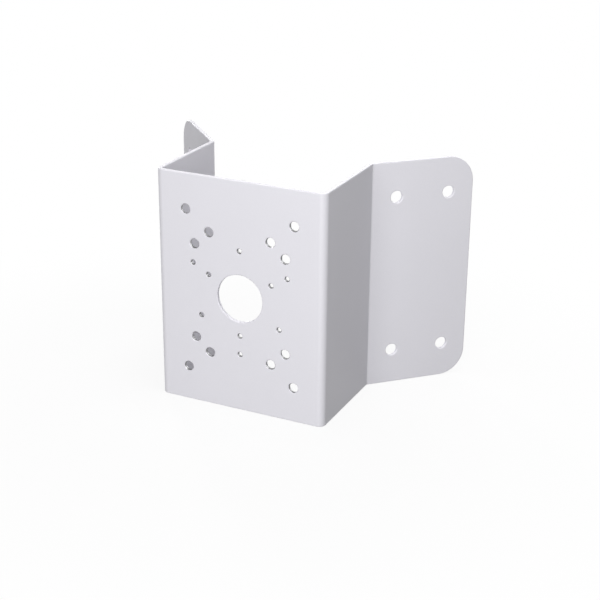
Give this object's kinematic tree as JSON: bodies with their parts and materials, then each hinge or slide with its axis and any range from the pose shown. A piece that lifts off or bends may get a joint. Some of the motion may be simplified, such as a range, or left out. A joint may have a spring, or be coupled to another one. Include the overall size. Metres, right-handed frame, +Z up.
{
  "type": "camera corner mount bracket",
  "caption": "Folded sheet steel bracket that carries a security camera on the outside corner of a building, with a tapped camera plate, a cable hole and two drilled wall wings.",
  "frame": {"origin": "centre of the camera plate, on its outer face and on the axis of the cable hole, half way up", "axes": "+Z up along the folds, +X to the right as seen from in front of the camera plate, -Y out of the camera plate"},
  "size_m": [0.2388, 0.1345, 0.17],
  "materials": {
    "powder_coat": "satin light grey powder coat with a fine orange peel"
  },
  "bodies": {
    "root": {"corner_bracket": "powder_coat"}
  },
  "joints": []
}
